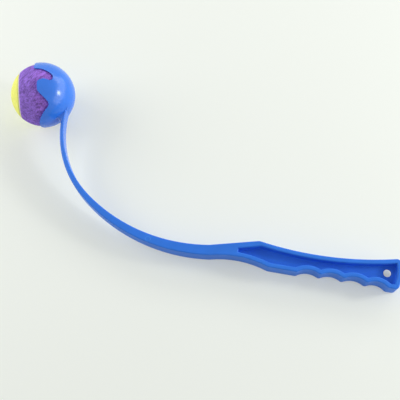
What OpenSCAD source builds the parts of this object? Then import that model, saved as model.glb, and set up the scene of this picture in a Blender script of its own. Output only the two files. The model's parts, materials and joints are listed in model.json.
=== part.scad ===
// Dog ball launcher with its tennis ball, lying on its side on a table.
// The launcher is one plastic moulding: a clawed cup, a springy tapered arm and an I-section handle.
// The ball has two rubber half shells, two felt panels and a seam bead.
// Lengths are in millimetres and angles in degrees.
// The plan is drawn round the cup's centre, with X towards the tail and Y away from the belly.

/* [Ball] */
// Diameter over the felt
ball_d = 64.5; // [45:0.5:75]
// Thickness of the felt
felt_t = 2.7; // [1.5:0.1:4]
// Wall of the rubber shell
core_wall = 3.5; // [2:0.1:6]
// Width of the seam between the felt panels
seam_w = 1.5; // [1:0.1:3]
// How far the seam bead lies under the felt's surface
seam_sink = 0.5; // [0.2:0.1:1.2]
// Lean of each panel's end lobe, which sets the width of the panel's waist
lobe_lean = 7; // [2:1:16]
// Glue line between the ball's pieces
glue_line = 0.05; // [0.02:0.01:0.2]

/* [Cup] */
// Room all round the ball in the cup
ball_clear = 0.4; // [0.3:0.1:1.5]
// Gap that is left where the ball lies against the cup's seat
seat_gap = 0.3; // [0.1:0.1:0.3]
// Wall of the cup
cup_wall = 1.3; // [1.2:0.1:3]
// Turn of the mouth's axis from the handle's line
mouth_yaw = 14; // [6:1:20]
// Reach of the hood and the lip past the cup's centre
hood_reach = 3; // [1:0.1:4.5]
// Set-back of the finger's tip from the cup's centre
finger_back = 1.2; // [0:0.1:6]
// Angle of the hood's corner round the mouth, from the top face
hood_edge = 30.5; // [28:0.5:40]
// Rise of the hood's curved edge above its chord
hood_bow = 2.4; // [1:0.1:3]
// Angle of the finger's crest round the mouth
finger_top = 6.5; // [4:0.5:10]
// From the cup's centre back to the finger's crest
finger_crest = 7.8; // [6:0.1:9]
// Fall of the finger's upper edge from its crest to each end
finger_fall = 2.5; // [1:0.1:3]
// Angle of the finger's lower corner round the mouth
finger_low = -15.5; // [-20:0.5:-12]
// Angle of the lower notch's root round the mouth
notch_low = -38; // [-46:1:-32]
// Depth of the upper notch behind the cup's centre
notch_top_depth = 16.6; // [14:0.1:20]
// Width of the upper notch at its root
notch_top_w = 7; // [6:0.1:9]
// Depth of the lower notch behind the cup's centre, to its sharp root
notch_low_depth = 12.7; // [8:0.1:16]
// Radius in the upper notch's root
notch_top_r = 2.8; // [1.5:0.1:3.2]
// Radius in the lower notch's root
notch_low_r = 3.5; // [2:0.1:5]
// Radius of the finger's corners
claw_r = 4; // [2:0.1:4.5]
// Radius of the hood's corner
hood_r = 2.5; // [1:0.1:3]

/* [Arm] */
// Width of the arm across the plan where it leaves the cup
root_w = 16; // [12:0.5:20]
// Width of the arm and the handle across the plan from the belly on
strap_w = 23; // [20:0.5:27]
// Angle below the handle's line where the arm leaves the cup
root_angle = 32; // [28:0.5:38]
// Heading of the arm at the cup
root_heading = -90; // [-96:1:-86]
// Heading where the bend opens out
bend_heading = -37; // [-45:1:-30]
// Heading where the arm runs into the handle
neck_heading = 8.5; // [5:0.5:12]
// Radius of the bend near the cup
bend_r = 105; // [90:1:120]
// Radius of the bend near the handle
sweep_r = 174; // [150:1:200]
// Thickness of the arm at the cup
root_t = 3.2; // [2.5:0.1:5]
// Thickness of the arm at the handle
neck_t = 10.4; // [9:0.1:13]
// Fillet between the arm and the cup on the belly side
gusset_r = 4; // [3:0.5:7]
// Fillet between the arm and the cup inside the bend
crook_r = 24; // [10:1:30]

/* [Handle] */
// From the neck to the hump of the back
hump_at = 47; // [40:0.5:52]
// Height of the hump above the resting line
hump_h = 24.2; // [22:0.2:28]
// From the neck to the guard's corner
guard_at = 59; // [54:0.5:64]
// Length of the guard's flat before the first finger groove
guard_len = 28; // [14:0.5:34]
// Rise of the forefinger rest between the neck and the guard
rest_rise = 4.3; // [2:0.1:6]
// Finger grooves
grooves = 4; // [3:1:5]
// Distance between finger grooves
groove_pitch = 22.5; // [21:0.5:26]
// Length of the last groove, which is shorter
last_groove = 20; // [19:0.5:21]
// Depth of a finger groove
groove_depth = 3.6; // [2:0.1:4]
// Radius of the ridges between the grooves
ridge_r = 5; // [1:0.5:5.5]
// Rise of the ridges in the middle of the grip
grip_arch = 1.5; // [0:0.1:4]
// Length of the heel behind the last groove
heel_len = 11.5; // [10.5:0.5:14]
// Height of the tail
tail_h = 30.2; // [27:0.2:34]
// How far the tail's bowed end stands past the back's corner
tail_rake = 3; // [1:0.5:5]
// How far the tail's bowed end stands past the heel's corner
heel_rake = 1.5; // [1:0.5:4]
// Hollow of the back between hump and tail
back_hollow = 6.8; // [3:0.2:8]
// Rim round the handle's pockets
rim_t = 4.5; // [3:0.1:6]
// Web between the handle's two pockets
web_t = 4; // [2:0.1:6]
// From the neck to the tip of the pockets
pocket_at = 28; // [22:0.5:36]
// Rim above the tip of the pockets, where it is thicker
tip_rim = 5.8; // [3:0.1:7]
// Diameter of the hanging hole
hang_d = 7.5; // [5:0.1:9]
// From the tail's end to the centre of the hanging hole
hang_at = 12.5; // [12:0.5:18]

/* [Hidden] */
$fn = 72;
// Straight steps along each arm edge, and in each drawn arc
arm_steps = 34;
arc_steps = 8;
// Overlap that lets cutters break through
past = 1;

ball_r = ball_d / 2;
core_r = ball_r - felt_t;
cup_ri = ball_r + ball_clear;
cup_ro = cup_ri + cup_wall;
ball_back = ball_clear - seat_gap;

// A lobe's circle is set so that all four lobes meet each other at one angle.
lobe_r = acos(cos(lobe_lean) / sqrt(2));
seam_half = asin(seam_w / 2 / ball_r);
bead_half = asin((seam_w / 2 - glue_line) / ball_r);

bend_len = bend_r * (bend_heading - root_heading) * PI / 180;
sweep_len = sweep_r * (neck_heading - bend_heading) * PI / 180;
arm_len = bend_len + sweep_len;
// The arm starts this far inside the cup, and the cup's hollow trims it.
arm_lead = cup_wall + 8;

function unit(v) = v / norm(v);
function flat(p) = [p[0], p[1]];

// A point on an arc that starts at p with heading a and has turned to heading b.
function swung(p, r, a, b) = p + r * [sin(b) - sin(a), cos(a) - cos(b)];

// The arm's centre line: place and heading at a length s from the cup.
arm_start = cup_ro * [cos(root_angle), -sin(root_angle)];
bend_end = swung(arm_start, bend_r, root_heading, bend_heading);
function heading(s) =
    s < 0 ? root_heading :
    s < bend_len ? root_heading + s / bend_r * 180 / PI :
    bend_heading + (s - bend_len) / sweep_r * 180 / PI;
function centre(s) =
    s < 0 ? arm_start + s * [cos(root_heading), sin(root_heading)] :
    s < bend_len ? swung(arm_start, bend_r, root_heading, heading(s)) :
    swung(bend_end, sweep_r, bend_heading, heading(s));
function thick(s) = root_t + (neck_t - root_t) * max(s, 0) / arm_len;

// A point on the arm's edge: side 1 is the inside of the bend and side -1 the belly.
function side_dir(s, side) = side * [-sin(heading(s)), cos(heading(s))];
function edge(s, side) = centre(s) + side_dir(s, side) * thick(s) / 2;

// Points of an arc from p to q whose middle stands h to the left of the chord, without its ends.
function bowed(p, q, h, n = arc_steps) =
    let (c = norm(q - p), r = (c * c / 4 + h * h) / (2 * abs(h)))
    let (d = unit(q - p), m = (p + q) / 2, left = [-d[1], d[0]], g = sign(h))
    let (o = m + left * (h - g * r), w = asin(c / 2 / r))
    [for (i = [1 : n - 1]) let (a = w * (2 * i / n - 1)) o + r * (d * sin(a) + left * g * cos(a))];

// Points of the fillet of radius r at corner b.
function fillet(a, b, c, r, n = 6) =
    let (u = unit(a - b), w = unit(c - b), half = acos(u * w) / 2)
    let (o = b + unit(u + w) * r / sin(half), p = b + u * r / tan(half) - o, q = b + w * r / tan(half) - o)
    let (from = atan2(p[1], p[0]), turn = (atan2(q[1], q[0]) - from + 540) % 360 - 180)
    [for (i = [0 : n]) let (t = from + turn * i / n) o + r * [cos(t), sin(t)]];

// An outline whose corners may carry a radius as their third number.
function rounded(pts) =
    let (k = len(pts))
    [for (i = [0 : k - 1])
        let (b = pts[i], r = len(b) > 2 ? b[2] : 0)
        each r > 0 ? fillet(flat(pts[(i + k - 1) % k]), flat(b), flat(pts[(i + 1) % k]), r) : [flat(b)]];

// The belly, the guard and the heel lie on one line, on which the launcher rests.
belly_s = bend_len - bend_heading / 180 * PI * sweep_r;
belly_y = edge(belly_s, -1)[1];
neck = centre(arm_len);
neck_low = edge(arm_len, -1);
neck_top = edge(arm_len, 1);
hump = [neck[0] + hump_at, belly_y + hump_h];
guard = [neck[0] + guard_at, belly_y];
ridge_0 = guard + [guard_len, 0];
function ridge(i) =
    ridge_0 + [
        i * groove_pitch - (i < grooves ? 0 : groove_pitch - last_groove),
        4 * grip_arch * i / grooves * (1 - i / grooves)];
// A ridge's radius is no more than the grooves' first straight steps leave room for.
groove_r = (last_groove * last_groove / 4 + groove_depth * groove_depth) / (2 * groove_depth);
groove_turn = asin(last_groove / 2 / groove_r);
ridge_room = 1.9 * groove_r * sin(groove_turn / arc_steps) / tan(groove_turn * (1 - 1 / arc_steps));
ridge_fit = min(ridge_r, ridge_room);
tail_x = ridge(grooves)[0] + heel_len;
heel = [tail_x - heel_rake, belly_y];
tail_top = [tail_x - tail_rake, belly_y + tail_h];
hang_hole = [tail_x - hang_at, belly_y + tail_h / 2 + 1];

// Lying down, the launcher rolls about the resting line until the cup's belly meets the table.
half_w = strap_w / 2;
root_half = root_w / 2;
rest_reach = norm([belly_y, half_w]);
rest_roll = asin(cup_ro / rest_reach) - atan(half_w / -belly_y);
mid_x = (tail_x - ball_r) / 2;
mid_y = (cup_ro + belly_y * cos(rest_roll) - half_w * sin(rest_roll)) / 2;

// A root fillet's circle touches the arm's edge at s and, in the arm's two faces, the cup.
cup_flank = sqrt(cup_ro * cup_ro - root_half * root_half);
function root_o(s, side, r) = edge(s, side) + side_dir(s, side) * r;
function root_find(side, r, lo, hi, k = 24) =
    let (s = (lo + hi) / 2, far = norm(root_o(s, side, r)) > cup_flank + r)
    k == 0 ? s : root_find(side, r, far ? lo : s, far ? s : hi, k - 1);

module lying() {
    translate([-mid_x, -mid_y, cup_ro])
        rotate([rest_roll, 0, 0])
            children();
}

module arm_and_handle_plan() {
    polygon(rounded(concat(
        [for (i = [0 : arm_steps]) edge(-arm_lead + (arm_len + arm_lead) * i / arm_steps, -1)],
        bowed(neck_low, guard, rest_rise),
        [[guard[0], guard[1], 10]],
        [for (i = [0 : grooves - 1]) each concat(
            [[ridge(i)[0], ridge(i)[1], ridge_fit]],
            bowed(ridge(i), ridge(i + 1), groove_depth))],
        [[ridge(grooves)[0], ridge(grooves)[1], ridge_fit]],
        [[heel[0], heel[1], 4],
        [tail_x, belly_y + tail_h / 3, 12],
        [tail_x, belly_y + tail_h * 2 / 3, 12]],
        [[tail_top[0], tail_top[1], 4]],
        bowed(tail_top, hump, back_hollow, 2 * arc_steps),
        [[hump[0], hump[1], 8]],
        [for (i = [arm_steps : -1 : 0]) edge(-arm_lead + (arm_len + arm_lead) * i / arm_steps, 1)])));
}

module root_fillet_plan(side, r) {
    s = root_find(side, r, -arm_lead, bend_len);
    o = root_o(s, side, r);
    from = -side_dir(s, side);
    turn = -side * acos(from * -unit(o));
    polygon(concat(
        [for (i = [0 : arc_steps])
            let (a = atan2(from[1], from[0]) + turn * i / arc_steps)
            o + r * [cos(a), sin(a)]],
        [unit(o) * cup_ri * 0.9, arm_start * 0.9, arm_start, centre(s)]));
}

// Seen from the belly, the arm widens from the cup to the belly and keeps that width to the tail.
module width_plan() {
    upper = [
        [0, root_half],
        [arm_start[0], root_half],
        [edge(belly_s, -1)[0], half_w],
        [tail_x + past, half_w]];
    polygon(concat(upper, [for (i = [len(upper) - 1 : -1 : 0]) [upper[i][0], -upper[i][1]]]));
}

// The mouth is cut square to the plan, so both faces of the cup get the same hood, finger and lip.
module mouth_plan() {
    out = 2 * cup_ro;
    hood = [-hood_reach, cup_ro * sin(hood_edge)];
    crest_y = cup_ro * sin(finger_top);
    fall_y = crest_y - finger_fall;
    notch_top = [notch_top_depth, fall_y + notch_top_w];
    root_y = cup_ro * sin(notch_low);
    low_y = cup_ro * sin(finger_low);
    lip_y = root_y - (notch_low_depth + hood_reach) * tan(40);
    rotate(mouth_yaw)
        polygon(rounded(concat(
            [[-out, out], [-hood_reach, out], [hood[0], hood[1], hood_r]],
            bowed(hood, notch_top, hood_bow, 6),
            [[notch_top[0], notch_top[1], notch_top_r],
            [notch_top_depth, fall_y, notch_top_r],
            [finger_crest, crest_y, claw_r],
            [finger_back, fall_y, claw_r],
            [finger_back, low_y, claw_r],
            [notch_low_depth, root_y, notch_low_r],
            [-hood_reach, lip_y],
            [-hood_reach, -out],
            [-out, -out]])));
}

// The cup's spheres have their poles on the mouth's axis.
module cup_sphere(r) {
    rotate([0, 0, mouth_yaw])
        rotate([0, -90, 0])
            sphere(r = r);
}

// The pockets follow the handle's outline inside its rim, and narrow to a tip in front of the hump.
module pocket_plan() {
    tip_x = neck[0] + pocket_at;
    back_y = neck_top[1] + (hump[1] - neck_top[1]) * (tip_x - neck_top[0]) / (hump[0] - neck_top[0]);
    intersection() {
        offset(delta = -rim_t) arm_and_handle_plan();
        polygon([
            [tip_x, belly_y],
            [tip_x, back_y - tip_rim],
            hump + [rim_t, -rim_t],
            [tail_x, belly_y + tail_h],
            [tail_x, belly_y]]);
    }
}

module launcher() {
    color("royalblue")
        lying()
            difference() {
                union() {
                    cup_sphere(cup_ro);
                    intersection() {
                        linear_extrude(height = strap_w + 2 * past, center = true) {
                            arm_and_handle_plan();
                            root_fillet_plan(-1, gusset_r);
                            root_fillet_plan(1, crook_r);
                        }
                        rotate([90, 0, 0])
                            linear_extrude(height = -4 * belly_y, center = true)
                                width_plan();
                    }
                }
                cup_sphere(cup_ri);
                linear_extrude(height = 2 * cup_ro + 2 * past, center = true)
                    mouth_plan();
                for (side = [0, 1])
                    mirror([0, 0, side])
                        translate([0, 0, web_t / 2])
                            linear_extrude(height = half_w)
                                pocket_plan();
                translate([hang_hole[0], hang_hole[1], 0])
                    cylinder(d = hang_d, h = strap_w, center = true);
            }
}

// The ball lies in the cup with a lobe of the light panel facing out of the mouth.
module in_cup() {
    lying()
        rotate([0, 0, mouth_yaw])
            translate([ball_back, 0, 0])
                rotate([0, 0, 180])
                    children();
}

module shell(outer, inner) {
    difference() {
        sphere(r = outer);
        sphere(r = inner);
    }
}

// Half space above the ball's middle plane for up = 1, and below it for up = -1.
module half(up, lift = 0) {
    translate([-ball_d, -ball_d, up > 0 ? lift : -ball_d - lift])
        cube([2 * ball_d, 2 * ball_d, ball_d]);
}

// Two cones round the lobes of one panel: up = 1 for the light panel and -1 for the dark one.
module lobes(up, spread) {
    rotate([0, 0, up > 0 ? 0 : 90])
        for (end = [-1, 1])
            rotate([0, end * (90 - up * lobe_lean), 0])
                cylinder(r1 = 0, r2 = ball_d * tan(spread), h = ball_d);
}

// A panel is its own two lobes on the upper half of the ball, and on the lower all but the other's lobes.
module panel() {
    intersection() {
        shell(ball_r, core_r);
        union() {
            intersection() {
                half(1);
                lobes(1, lobe_r - seam_half);
            }
            difference() {
                half(-1);
                lobes(-1, lobe_r + seam_half);
            }
        }
    }
}

module seam() {
    intersection() {
        shell(ball_r - seam_sink, core_r);
        union() {
            for (up = [-1, 1])
                intersection() {
                    half(up);
                    difference() {
                        lobes(up, lobe_r + bead_half);
                        lobes(up, lobe_r - bead_half);
                    }
                }
        }
    }
}

module core_half(up) {
    intersection() {
        shell(core_r - glue_line, core_r - core_wall);
        half(up, glue_line / 2);
    }
}

module core_upper() {
    color("dimgray") in_cup() core_half(1);
}

module core_lower() {
    color("gray") in_cup() core_half(-1);
}

module felt_light() {
    color("yellow") in_cup() panel();
}

// Turned over about the line between two lobes, a panel fills the other panel's place.
module felt_dark() {
    color("mediumpurple") in_cup() rotate(a = 180, v = [1, 1, 0]) panel();
}

module seam_bead() {
    color("lightgray") in_cup() seam();
}

launcher();
core_upper();
core_lower();
felt_light();
felt_dark();
seam_bead();
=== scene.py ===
import json
import math

import bmesh
import bpy
from mathutils import Matrix, Vector


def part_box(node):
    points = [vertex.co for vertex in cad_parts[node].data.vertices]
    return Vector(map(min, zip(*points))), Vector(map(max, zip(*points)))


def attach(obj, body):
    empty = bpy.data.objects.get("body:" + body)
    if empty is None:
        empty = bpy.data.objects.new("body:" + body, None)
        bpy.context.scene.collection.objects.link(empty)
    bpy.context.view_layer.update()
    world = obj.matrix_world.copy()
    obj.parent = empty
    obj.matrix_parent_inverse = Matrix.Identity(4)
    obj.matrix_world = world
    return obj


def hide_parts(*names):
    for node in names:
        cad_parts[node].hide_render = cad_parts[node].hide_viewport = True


bl_info = {
    "name": "Dog Ball Launcher",
    "version": (1, 0, 0),
    "blender": (4, 5, 0),
    "location": "View3D > Sidebar > Ball Launcher",
    "description": "Dresses a ball launcher and its felt ball, and lights them on a pale table",
    "category": "Add Mesh",
}

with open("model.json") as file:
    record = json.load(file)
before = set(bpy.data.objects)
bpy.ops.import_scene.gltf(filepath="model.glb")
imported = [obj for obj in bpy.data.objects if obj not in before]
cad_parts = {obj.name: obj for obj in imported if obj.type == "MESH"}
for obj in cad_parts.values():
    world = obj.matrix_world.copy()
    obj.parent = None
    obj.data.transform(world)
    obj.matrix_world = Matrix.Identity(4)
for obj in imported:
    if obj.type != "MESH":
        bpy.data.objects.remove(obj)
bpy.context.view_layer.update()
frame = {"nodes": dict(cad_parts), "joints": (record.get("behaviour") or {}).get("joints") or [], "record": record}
MILLI = 0.001
PER_METRE = 1 / MILLI

# The launcher's plan lies square to its hanging hole, and the mouth opens along the ball's slide.
PLAN_UP = Vector(frame["record"]["mounts"][0]["axis"]).normalized()
MOUTH_OUT = Vector(frame["joints"][0]["axis"]).normalized()
ROLL = math.atan2(-PLAN_UP.y, PLAN_UP.z)


def ball_centre():
    """Middle of the box round both felt panels, which together make the whole ball."""
    corners = [Vector(c) for name in ("felt_light", "felt_dark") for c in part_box(name)]
    return Vector([(min(along) + max(along)) / 2 for along in zip(*corners)])


BALL_AT = ball_centre()
BALL_R = max(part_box("felt_light")[1].z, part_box("felt_dark")[1].z) - BALL_AT.z

# Distances from the ball's centre: just under the felt's outer face, just outside the cup's wall,
# and where the arm has left the cup.
FELT_FACE = BALL_R - 0.2 * MILLI
CUP_SKIN = BALL_R + 2.2 * MILLI
ARM_START = BALL_R + 5 * MILLI

# Corners of the CAD mesh that are nearer than this are welded, and turns below this made flat.
WELD = 0.06 * MILLI
FLAT = math.radians(0.4)

# A bevel gets this many times its own width of clear ground.
ELBOW_ROOM = 1.4

# Places along the handle, in millimetres from the ball's centre: the cup's polish ends at the
# first, and the grip's satin starts at the second.
POLISH_ENDS, SATIN_STARTS = 30, 110

# Millimetres from the parting line to its crest's end and to its foot's, and its height. Then the
# same for the rim round the ejector pin's mark, and the height of the plastic's grain.
PARTING_CREST, PARTING_FOOT, PARTING_STEP = 0.06, 0.2, 0.05
PIN_CREST, PIN_FOOT, PIN_STEP = 0.1, 0.6, 0.25
GRAIN_STEP = 0.003

# The felt's clumps slant by this angle and are drawn out this many times. Then the heights of its
# clumps, tufts and hairs in millimetres.
FELT_SLANT, FELT_COMBED = 1.1, 3.0
CLUMP_STEP, TUFT_STEP, HAIR_STEP = 0.5, 0.5, 0.12

# Places along the mouth, in millimetres from the ball's centre, between which the dark felt takes
# its painted shade, standing in for the shade the claws cast on it, and how much of it.
SHADE_STARTS, SHADE_FULL, SHADE_MOST = 10, -6, 0.3

# Half the table's side, and the distances from its middle between which its shadows fade out.
TABLE_HALF = 6
FADE_STARTS, FADE_ENDS = 0.45, 1.5

# Width of the camera's sensor in millimetres.
SENSOR = 36


def srgb(red, green, blue):
    """Scene-linear colour of an 8-bit screen colour."""
    def straight(v):
        v /= 255
        return v / 12.92 if v <= 0.04045 else ((v + 0.055) / 1.055) ** 2.4
    return straight(red), straight(green), straight(blue)


# Settings


class MouldingSettings(bpy.types.PropertyGroup):
    """Edges and finish of the blue moulding."""

    rim_round: bpy.props.FloatProperty(
        name="Rim rounding", description="Radius on the edges of the arm and the handle",
        default=1.3 * MILLI, min=0.2 * MILLI, max=1.4 * MILLI, unit="LENGTH", precision=5)
    pocket_fillet: bpy.props.FloatProperty(
        name="Pocket fillet", description="Radius in the corners of the handle's pockets",
        default=1.0 * MILLI, min=0.2 * MILLI, max=1.4 * MILLI, unit="LENGTH", precision=5)
    pin_mark: bpy.props.FloatVectorProperty(
        name="Pin mark",
        description="Place of the ejector pin's mark in the plan, from the ball's centre",
        default=(0.1403, -0.1345, 0.0109), subtype="XYZ", unit="LENGTH", precision=5)
    pin_size: bpy.props.FloatProperty(
        name="Pin size", description="Diameter of the ejector pin's mark",
        default=4.8 * MILLI, min=2 * MILLI, max=8 * MILLI, unit="LENGTH", precision=5)
    cup_roughness: bpy.props.FloatProperty(
        name="Cup roughness", description="Roughness of the polished cup",
        default=0.2, min=0.05, max=1, subtype="FACTOR")
    grip_roughness: bpy.props.FloatProperty(
        name="Grip roughness", description="Roughness of the satin arm and handle",
        default=0.52, min=0.05, max=1, subtype="FACTOR")
    cup_gloss: bpy.props.FloatProperty(
        name="Cup gloss", description="Strength of the polished cup's reflections",
        default=0.5, min=0, max=1, subtype="FACTOR")
    grip_gloss: bpy.props.FloatProperty(
        name="Grip gloss", description="Strength of the satin arm's and handle's reflections",
        default=0.34, min=0, max=1, subtype="FACTOR")
    blue: bpy.props.FloatVectorProperty(
        name="Blue", description="Colour of the plastic",
        default=srgb(46, 121, 230), subtype="COLOR", min=0, max=1)


class BallSettings(bpy.types.PropertyGroup):
    """Felt, seam and rubber of the ball."""

    light_felt: bpy.props.FloatVectorProperty(
        name="Light felt", description="Colour of the panel that faces out of the mouth",
        default=srgb(252, 255, 132), subtype="COLOR", min=0, max=1)
    light_contrast: bpy.props.FloatProperty(
        name="Light contrast", description="How much the light felt's clumps differ",
        default=0.08, min=0, max=1, subtype="FACTOR")
    dark_felt: bpy.props.FloatVectorProperty(
        name="Dark felt", description="Colour of the other panel",
        default=srgb(146, 110, 207), subtype="COLOR", min=0, max=1)
    dark_contrast: bpy.props.FloatProperty(
        name="Dark contrast", description="How much the dark felt's clumps differ",
        default=0.42, min=0, max=1, subtype="FACTOR")
    # Painted shade: a darker, redder felt colour that stands in for the claws' shade on the dark panel.
    claw_shade_felt: bpy.props.FloatVectorProperty(
        name="Claw shade felt", description="Redder shade that the dark panel takes under the claws",
        default=srgb(150, 84, 186), subtype="COLOR", min=0, max=1)
    edge_roll: bpy.props.FloatProperty(
        name="Edge roll", description="Radius with which the felt rolls into the seam",
        default=0.7 * MILLI, min=0.2 * MILLI, max=1.2 * MILLI, unit="LENGTH", precision=5)
    seam: bpy.props.FloatVectorProperty(
        name="Seam", description="Colour of the seam's rubber",
        default=srgb(222, 214, 204), subtype="COLOR", min=0, max=1)
    core: bpy.props.FloatVectorProperty(
        name="Core", description="Colour of the half shells' rubber",
        default=srgb(58, 56, 55), subtype="COLOR", min=0, max=1)


class StageSettings(bpy.types.PropertyGroup):
    """Table, lights and camera."""

    table: bpy.props.FloatVectorProperty(
        name="Table", description="Colour of the table",
        default=srgb(243, 247, 240), subtype="COLOR", min=0, max=1)
    table_glow: bpy.props.FloatProperty(
        name="Table glow", description="Share of the table's colour that shows without shadow",
        default=0.38, min=0, max=1, subtype="FACTOR")
    room_share: bpy.props.FloatProperty(
        name="Room share", description="Share of the table's light that the room gives",
        default=0.35, min=0, max=1, subtype="FACTOR")
    left_share: bpy.props.FloatProperty(
        name="Left share", description="Share of the table's light that the left lamp gives",
        default=0.22, min=0, max=1, subtype="FACTOR")
    right_share: bpy.props.FloatProperty(
        name="Right share",
        description="Share of the table's light that the small right lamp gives",
        default=0.13, min=0, max=1, subtype="FACTOR")
    side_share: bpy.props.FloatProperty(
        name="Side share",
        description="Share of the table's light that the wide right screen gives",
        default=0.25, min=0, max=1, subtype="FACTOR")
    back_share: bpy.props.FloatProperty(
        name="Back share", description="Share of the table's light that the back lamp gives",
        default=0.13, min=0, max=1, subtype="FACTOR")
    eye: bpy.props.FloatVectorProperty(
        name="Eye", description="Place of the camera",
        default=(0.06883, -0.37203, 0.76285), subtype="XYZ", unit="LENGTH")
    azimuth: bpy.props.FloatProperty(
        name="Azimuth", description="Turn of the camera round the table",
        default=math.radians(10.5), subtype="ANGLE")
    elevation: bpy.props.FloatProperty(
        name="Elevation", description="Tilt of the camera down to the table",
        default=math.radians(64.823), subtype="ANGLE")
    lens: bpy.props.FloatProperty(
        name="Lens", description="Focal length on a sensor 36 mm wide",
        default=73.8, min=20, max=200, unit="CAMERA")


# Meshes


def merged_copy(cad_node):
    """A bmesh of a CAD node with its loose triangles merged and its flat faces made whole."""
    bm = bmesh.new()
    bm.from_mesh(frame["nodes"][cad_node].data)
    bmesh.ops.remove_doubles(bm, verts=bm.verts, dist=WELD)
    bmesh.ops.dissolve_limit(bm, angle_limit=FLAT, verts=bm.verts, edges=bm.edges)
    return bm


def creases(bm, least=28):
    """Edges where the surface turns by more than least degrees."""
    return [e for e in bm.edges if e.is_manifold and e.calc_face_angle() > math.radians(least)]


def standing(edges):
    """The edges that are still in the mesh."""
    return [e for e in edges if e.is_valid]


def weld(bm, targets):
    """Welds corners onto others, given as a mapping."""
    if targets:
        bmesh.ops.weld_verts(bm, targetmap=targets)


def draw_in(bm, edges, room):
    """Welds loose corners that stand nearer than room to these edges onto their nearer ends."""
    held = {v for e in (*edges, *creases(bm)) for v in e.verts}
    targets = {}
    for edge in edges:
        start, end = edge.verts
        run = end.co - start.co
        for vert in {v for f in edge.link_faces for v in f.verts} - held:
            share = min(max((vert.co - start.co).dot(run) / run.length_squared, 0), 1)
            if (vert.co - start.co - share * run).length < room:
                targets[vert] = start if share < 0.5 else end
    weld(bm, targets)


def even_out(bm, edges, most=20):
    """Turns the diagonals of thin triangles round these edges, where the surface turns by less
    than most degrees."""
    near = dict.fromkeys(
        f for e in edges for v in e.verts for f in v.link_faces if len(f.verts) == 3)
    inner = dict.fromkeys(
        e for f in near for e in f.edges
        if e.is_manifold and all(g in near for g in e.link_faces)
        and e.calc_face_angle() < math.radians(most))
    bmesh.ops.beautify_fill(bm, faces=list(near), edges=list(inner), method="ANGLE")


def close_slivers(bm, edges):
    """Closes flat triangles that have two of these edges for sides."""
    line = set(edges)
    targets = {}
    for face in dict.fromkeys(f for e in edges for f in e.link_faces):
        sides = [e for e in face.edges if e in line]
        if len(face.verts) == 3 and len(sides) == 2:
            middle = (set(sides[0].verts) & set(sides[1].verts)).pop()
            targets[middle] = sides[0].other_vert(middle)
    weld(bm, targets)


def clear_beside(bm, edges, room, rounds=4, close=0.3):
    """Clears the ground beside these edges for a bevel, and gives the edges that are left. Their
    corners are merged where they are nearer than close times room."""
    corners = dict.fromkeys(v for e in edges for v in e.verts)
    bmesh.ops.remove_doubles(bm, verts=list(corners), dist=close * room)
    for _ in range(rounds):
        edges = standing(edges)
        draw_in(bm, edges, room)
        edges = standing(edges)
        even_out(bm, edges)
    edges = standing(edges)
    close_slivers(bm, edges)
    return standing(edges)


def round_off(bm, edges, radius, segments=3):
    """Bevels the edges that are still there to an even radius."""
    bmesh.ops.bevel(
        bm, geom=standing(edges), offset=radius, offset_type="OFFSET", segments=segments,
        profile=0.5, affect="EDGES", material=-1, clamp_overlap=False)


def finished(bm, name, material, body, cad_node):
    """Turns a bmesh into the smooth piece that stands for a CAD node."""
    mesh = bpy.data.meshes.new(name)
    bm.to_mesh(mesh)
    bm.free()
    mesh.polygons.foreach_set("use_smooth", [True] * len(mesh.polygons))
    mesh.materials.append(material)
    piece = bpy.data.objects.new(name, mesh)
    bpy.context.scene.collection.objects.link(piece)
    even = piece.modifiers.new("Even shading", "WEIGHTED_NORMAL")
    even.keep_sharp = True
    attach(piece, body)
    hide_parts(cad_node)
    return piece


# Nodes


def plug(tree, socket, value):
    """Links an output to a socket, or sets the socket's own value."""
    if isinstance(value, bpy.types.NodeSocket):
        tree.links.new(value, socket)
    else:
        socket.default_value = value


def node(tree, kind, settings=None, **sockets):
    """Adds a node with its own settings. Sockets are input values, or outputs to link."""
    made = tree.nodes.new(kind)
    for key, value in (settings or {}).items():
        setattr(made, key, value)
    for key, value in sockets.items():
        plug(tree, made.inputs[key.replace("_", " ")], value)
    return made


def in_turn(tree, made, *values):
    """Plugs values into a node's sockets in their order, and gives the node back."""
    for socket, value in zip(made.inputs, values):
        plug(tree, socket, value)
    return made


def maths(tree, operation, *values):
    """A Math node's output."""
    made = node(tree, "ShaderNodeMath", {"operation": operation})
    return in_turn(tree, made, *values).outputs[0]


def vectors(tree, operation, output, *values):
    """A Vector Math node's output."""
    made = node(tree, "ShaderNodeVectorMath", {"operation": operation})
    return in_turn(tree, made, *values).outputs[output]


def weighted(tree, *terms):
    """Sum of values that are each given with a weight."""
    total = 0.0
    for value, weight in terms:
        total = maths(tree, "MULTIPLY_ADD", value, weight, total)
    return total


def spread(tree, value, low, high, to_low, to_high, smooth=False):
    """Maps a value from one range to another, clamped."""
    style = {"interpolation_type": "SMOOTHSTEP" if smooth else "LINEAR"}
    made = node(tree, "ShaderNodeMapRange", style, Value=value, From_Min=low, From_Max=high,
                To_Min=to_low, To_Max=to_high)
    return made.outputs["Result"]


def blended(tree, factor, first, second):
    """A colour between two others."""
    made = tree.nodes.new("ShaderNodeMix")
    made.data_type = "RGBA"
    plug(tree, made.inputs[0], factor)
    plug(tree, made.inputs[6], first)
    plug(tree, made.inputs[7], second)
    return made.outputs[2]


def shaded(colour, amount):
    """A colour with alpha, made darker or lighter."""
    return (*(min(c * amount, 1) for c in colour), 1)


def noise(tree, vector, scale, detail=2.0, distortion=0.0, roughness=0.5):
    """A noise texture's value."""
    made = node(tree, "ShaderNodeTexNoise", None, Vector=vector, Scale=scale, Detail=detail,
                Distortion=distortion, Roughness=roughness)
    return made.outputs["Fac"]


def object_place(tree):
    """Object coordinates, which are the part's own in metres."""
    return node(tree, "ShaderNodeTexCoord").outputs["Object"]


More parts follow.
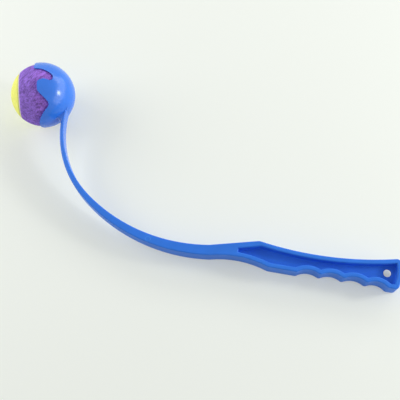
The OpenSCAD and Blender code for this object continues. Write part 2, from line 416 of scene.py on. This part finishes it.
def millimetres(tree, centre, roll=0.0):
    """Object coordinates in millimetres from a centre, turned into the launcher's plan by roll."""
    at = -PER_METRE * (Matrix.Rotation(-roll, 3, "X") @ centre)
    made = node(tree, "ShaderNodeMapping", None, Vector=object_place(tree), Location=at,
                Rotation=(-roll, 0, 0), Scale=(PER_METRE, PER_METRE, PER_METRE))
    return made.outputs["Vector"]


def seen_rays(tree):
    """1 on rays that show a thing to the eye, straight, in gloss or through glass, else 0."""
    path = node(tree, "ShaderNodeLightPath").outputs
    bent = maths(tree, "MAXIMUM", path["Is Glossy Ray"], path["Is Transmission Ray"])
    return maths(tree, "MAXIMUM", path["Is Camera Ray"], bent)


def bumped(tree, shader, height):
    """Bump from a height in millimetres."""
    made = node(tree, "ShaderNodeBump", None, Height=height, Distance=MILLI, Strength=1.0)
    plug(tree, shader.inputs["Normal"], made.outputs["Normal"])


# Materials


def new_material(name):
    """A node material: its tree and its Principled shader."""
    made = bpy.data.materials.new(name)
    made.use_nodes = True
    return made, made.node_tree, made.node_tree.nodes["Principled BSDF"]


def pin_ring(tree, plan, settings):
    """1 on the rim of the ejector pin's mark, else 0."""
    middle = tuple(PER_METRE * c for c in settings.pin_mark)
    away = vectors(tree, "SUBTRACT", "Vector", plan, middle)
    far = vectors(tree, "LENGTH", "Value", away)
    past = maths(tree, "SUBTRACT", far, PER_METRE * settings.pin_size / 2)
    return spread(tree, maths(tree, "ABSOLUTE", past), PIN_CREST, PIN_FOOT, 1, 0, smooth=True)


def moulded_plastic(settings):
    """Moulded plastic, polished at the cup and satin from the arm on, with a pin's mark and a
    parting line."""
    made, tree, shader = new_material("moulded_blue_plastic")
    plan = millimetres(tree, BALL_AT, ROLL)
    part = node(tree, "ShaderNodeSeparateXYZ", None, Vector=plan).outputs

    def from_cup(at_cup, at_grip):
        """A value that changes along the arm."""
        return spread(tree, part["X"], POLISH_ENDS, SATIN_STARTS, at_cup, at_grip, smooth=True)

    flow = spread(tree, noise(tree, plan, 0.035, detail=3.0, distortion=1.5), 0.3, 0.7, 0, 1)
    tint = blended(tree, flow, shaded(settings.blue, 0.94), shaded(settings.blue, 1.06))
    ring = pin_ring(tree, plan, settings)
    paler = maths(tree, "MULTIPLY", ring, 0.4)
    plug(tree, shader.inputs["Base Color"], blended(tree, paler, tint, shaded(settings.blue, 1.8)))

    rub = noise(tree, plan, 0.6, detail=4.0, distortion=0.6, roughness=0.65)
    worn = spread(tree, rub, 0.3, 0.75, -0.04, 0.05)
    rough = maths(tree, "ADD", from_cup(settings.cup_roughness, settings.grip_roughness), worn)
    plug(tree, shader.inputs["Roughness"], rough)
    gloss = from_cup(settings.cup_gloss, settings.grip_gloss)
    plug(tree, shader.inputs["Specular IOR Level"], gloss)
    plug(tree, shader.inputs["IOR"], 1.49)

    aside = maths(tree, "ABSOLUTE", part["Z"])
    parting = spread(tree, aside, PARTING_CREST, PARTING_FOOT, 1, 0, smooth=True)
    grain = noise(tree, plan, 5.0)
    bumped(tree, shader, weighted(
        tree, (parting, PARTING_STEP), (ring, PIN_STEP), (grain, GRAIN_STEP)))
    return made


def needled_felt(name, colour, contrast, claw_shade=None):
    """Fuzzy felt with sheen, in slanting clumps of a few millimetres. A painted shade may come in
    towards the cup, standing in for the shade under the claws."""
    made, tree, shader = new_material(name)
    place = millimetres(tree, BALL_AT)
    lay = node(tree, "ShaderNodeMapping", {"vector_type": "TEXTURE"}, Vector=place,
               Rotation=(0, 0, FELT_SLANT), Scale=(FELT_COMBED, 1, 1)).outputs["Vector"]
    clump = noise(tree, lay, 0.28, distortion=1.0)
    tuft = noise(tree, lay, 0.6, distortion=1.0, roughness=0.6)
    hair = noise(tree, place, 7.0, distortion=0.5)

    deep, pale = shaded(colour, 1 - contrast), shaded(colour, 1 + contrast)
    # Painted shade: near the mouth the dark felt blends towards the darker, redder colour where the claws shade
    # it.
    if claw_shade:
        out = vectors(tree, "DOT_PRODUCT", "Value", place, MOUTH_OUT)
        near = spread(tree, out, SHADE_STARTS, SHADE_FULL, 0, SHADE_MOST, smooth=True)
        deep = blended(tree, near, deep, shaded(claw_shade, 1 - contrast))
        pale = blended(tree, near, pale, shaded(claw_shade, 1 + contrast))
    tone = spread(tree, weighted(tree, (clump, 0.45), (tuft, 0.55)), 0.39, 0.61, 0, 1)
    plug(tree, shader.inputs["Base Color"], blended(tree, tone, deep, pale))

    plug(tree, shader.inputs["Roughness"], 0.95)
    plug(tree, shader.inputs["Specular IOR Level"], 0.15)
    plug(tree, shader.inputs["Sheen Weight"], 0.25)
    plug(tree, shader.inputs["Sheen Roughness"], 0.55)
    plug(tree, shader.inputs["Sheen Tint"], shaded(colour, 1.3))
    bumped(tree, shader, weighted(
        tree, (clump, CLUMP_STEP), (tuft, TUFT_STEP), (hair, HAIR_STEP)))
    return made


def matt_rubber(name, colour):
    """Matt vulcanised rubber with a dusty bloom."""
    made, tree, shader = new_material(name)
    place = millimetres(tree, BALL_AT)
    bloom = noise(tree, place, 0.8, detail=4.0, distortion=0.4)
    tint = blended(tree, bloom, shaded(colour, 0.88), shaded(colour, 1.1))
    plug(tree, shader.inputs["Base Color"], tint)
    plug(tree, shader.inputs["Roughness"], spread(tree, bloom, 0.3, 0.7, 0.55, 0.75))
    bumped(tree, shader, weighted(tree, (noise(tree, place, 4.0), 0.03)))
    return made


def pale_table(colour, glow):
    """A matt table top that is partly free of shadow near the part, and plain further out."""
    made, tree, shader = new_material("pale_table")
    place = object_place(tree)
    cloud = noise(tree, place, 3.0)
    tint = blended(tree, cloud, shaded(colour, 0.985), shaded(colour, 1.01))
    plug(tree, shader.inputs["Base Color"], tint)
    plug(tree, shader.inputs["Roughness"], 0.8)
    plug(tree, shader.inputs["Specular IOR Level"], 0.1)
    bright = node(tree, "ShaderNodeEmission", None, Color=shaded(colour, 1), Strength=1.0)
    away = vectors(tree, "LENGTH", "Value", place)
    plain = spread(tree, away, FADE_STARTS, FADE_ENDS, glow, 1, smooth=True)
    seen = maths(tree, "MULTIPLY", seen_rays(tree), plain)
    mixed = in_turn(tree, node(tree, "ShaderNodeMixShader"), seen, shader.outputs["BSDF"],
                    bright.outputs["Emission"])
    plug(tree, tree.nodes["Material Output"].inputs["Surface"], mixed.outputs["Shader"])
    return made


# Operators


class LAUNCHER_OT_moulding(bpy.types.Operator):
    """Make the one-piece moulding: clawed cup, springy arm and pocketed handle"""

    bl_idname = "launcher.moulding"
    bl_label = "Moulding"

    def execute(self, context):
        settings = context.scene.launcher_moulding
        bm = merged_copy("launcher")
        rims, fillets = [], []
        # The arm's and handle's edges are rounded, and the corners of the pockets' floors filled.
        # The cup's lips, its joint with the arm and the pockets' upright corners stay sharp.
        for edge in creases(bm):
            start, end = [v.co - BALL_AT for v in edge.verts]
            upright = abs((end - start).normalized().dot(PLAN_UP)) > 0.5
            if edge.is_convex and min(start.length, end.length) >= CUP_SKIN:
                rims.append(edge)
            elif not edge.is_convex and ((start + end) / 2).length > ARM_START and not upright:
                fillets.append(edge)
            else:
                edge.smooth = False
        round_off(bm, rims, settings.rim_round)
        round_off(bm, fillets, settings.pocket_fillet)
        material = moulded_plastic(settings)
        finished(bm, "moulding", material, "launcher", "launcher")
        return {"FINISHED"}


class LAUNCHER_OT_felt(bpy.types.Operator):
    """Make the two felt panels, whose edges roll into the seam"""

    bl_idname = "launcher.felt"
    bl_label = "Felt Panels"

    def panel(self, name, material, cad_node, slot, roll):
        """A felt panel with a roll on its outer edges."""
        bm = merged_copy(cad_node)
        outer = [e for e in creases(bm, least=45)
                 if min((v.co - BALL_AT).length for v in e.verts) > FELT_FACE]
        round_off(bm, clear_beside(bm, outer, ELBOW_ROOM * roll), roll, segments=4)
        piece = finished(bm, name, material, "ball", cad_node)

    def execute(self, context):
        settings = context.scene.launcher_ball
        light = needled_felt("light_felt", settings.light_felt, settings.light_contrast)
        dark = needled_felt("dark_felt", settings.dark_felt, settings.dark_contrast,
                            settings.claw_shade_felt)
        self.panel("panel_light", light, "felt_light", "yellow_felt", settings.edge_roll)
        self.panel("panel_dark", dark, "felt_dark", "purple_felt", settings.edge_roll)
        return {"FINISHED"}


class LAUNCHER_OT_rubber(bpy.types.Operator):
    """Finish the ball's rubber: the seam bead and the two half shells under the felt"""

    bl_idname = "launcher.rubber"
    bl_label = "Rubber"

    def execute(self, context):
        settings = context.scene.launcher_ball
        seam = matt_rubber("seam_rubber", settings.seam)
        core = matt_rubber("core_rubber", settings.core)
        finishes = {"seam_bead": seam, "core_upper": core, "core_lower": core}
        for cad_node, material in finishes.items():
            mesh = frame["nodes"][cad_node].data
            mesh.materials.clear()
            mesh.materials.append(material)
        return {"FINISHED"}


class LAUNCHER_OT_stage(bpy.types.Operator):
    """Lay the pale table and set the lamps, the room's light and the camera"""

    bl_idname = "launcher.stage"
    bl_label = "Stage"

    def table(self, context, colour, glow):
        """A wide flat table top."""
        bm = bmesh.new()
        bmesh.ops.create_grid(bm, x_segments=1, y_segments=1, size=TABLE_HALF)
        mesh = bpy.data.meshes.new("table")
        bm.to_mesh(mesh)
        bm.free()
        mesh.materials.append(pale_table(colour, glow))
        top = bpy.data.objects.new("table", mesh)
        context.scene.collection.objects.link(top)

    def room(self, context, share):
        """White surroundings that light the part at their share, and show as plain white."""
        world = bpy.data.worlds.new("room")
        world.use_nodes = True
        context.scene.world = world
        tree = world.node_tree
        inputs = tree.nodes["Background"].inputs
        plug(tree, inputs["Color"], (1, 1, 1, 1))
        plug(tree, inputs["Strength"], spread(tree, seen_rays(tree), 0, 1, share, 1))

    def lamp(self, context, name, toward, share, size, distance=1.1):
        """A soft lamp that gives the table its share of a plain level of light."""
        way = Vector(toward).normalized()
        light = bpy.data.lights.new(name, "AREA")
        light.shape = "RECTANGLE"
        light.size, light.size_y = size
        light.energy = share * math.pi ** 2 * distance ** 2 / way.z
        made = bpy.data.objects.new(name, light)
        context.scene.collection.objects.link(made)
        made.location = way * distance
        made.rotation_mode = "QUATERNION"
        made.rotation_quaternion = way.to_track_quat("Z", "Y")

    def camera(self, context, settings):
        """The camera that took the photograph."""
        eye = bpy.data.cameras.new("eye")
        eye.sensor_width, eye.lens = SENSOR, settings.lens
        eye.clip_start, eye.clip_end = 0.01, 50
        made = bpy.data.objects.new("eye", eye)
        context.scene.collection.objects.link(made)
        level = math.cos(settings.elevation)
        back = Vector((math.sin(settings.azimuth) * level, -math.cos(settings.azimuth) * level,
                       math.sin(settings.elevation)))
        made.location = settings.eye
        made.rotation_mode = "QUATERNION"
        made.rotation_quaternion = (-back).to_track_quat("-Z", "Y")
        context.scene.camera = made

    def execute(self, context):
        settings = context.scene.launcher_stage
        self.table(context, settings.table, settings.table_glow)
        self.room(context, settings.room_share)
        self.lamp(context, "left_lamp", toward=(-0.88, 0.08, 0.45), share=settings.left_share,
                  size=(0.8, 0.6))
        self.lamp(context, "right_lamp", toward=(0.872, 0.13, 0.45), share=settings.right_share,
                  size=(0.18, 0.18))
        self.lamp(context, "side_screen", toward=(0.9, 0.28, 0.3), share=settings.side_share,
                  size=(3.6, 1.1), distance=1.8)
        self.lamp(context, "back_lamp", toward=(0.1, 0.84, 0.54), share=settings.back_share,
                  size=(1.4, 0.35))
        self.camera(context, settings)
        context.scene.view_settings.view_transform = "Standard"
        return {"FINISHED"}


class VIEW3D_PT_launcher(bpy.types.Panel):
    """Lists the launcher's operators and settings"""

    bl_idname = "VIEW3D_PT_launcher"
    bl_label = "Ball Launcher"
    bl_space_type = "VIEW_3D"
    bl_region_type = "UI"
    bl_category = "Ball Launcher"

    def draw(self, context):
        for operator in OPERATORS:
            self.layout.operator(operator.bl_idname)
        for name in SETTINGS:
            held = getattr(context.scene, name)
            column = self.layout.column(heading=held.bl_rna.name)
            for key in held.__annotations__:
                column.prop(held, key)


OPERATORS = (LAUNCHER_OT_moulding, LAUNCHER_OT_felt, LAUNCHER_OT_rubber, LAUNCHER_OT_stage)
SETTINGS = {
    "launcher_moulding": MouldingSettings,
    "launcher_ball": BallSettings,
    "launcher_stage": StageSettings,
}
CLASSES = (*SETTINGS.values(), *OPERATORS, VIEW3D_PT_launcher)


def register():
    """Registers the classes, and hangs the settings on the scene."""
    for kind in CLASSES:
        bpy.utils.register_class(kind)
    for name, kind in SETTINGS.items():
        setattr(bpy.types.Scene, name, bpy.props.PointerProperty(type=kind))


def unregister():
    """Takes the settings off the scene again, and unregisters the classes."""
    for name in SETTINGS:
        delattr(bpy.types.Scene, name)
    for kind in reversed(CLASSES):
        bpy.utils.unregister_class(kind)


def main():
    """Dresses the part on its stage."""
    register()
    bpy.ops.launcher.moulding()
    bpy.ops.launcher.felt()
    bpy.ops.launcher.rubber()
    bpy.ops.launcher.stage()


if __name__ == "__main__":
    main()
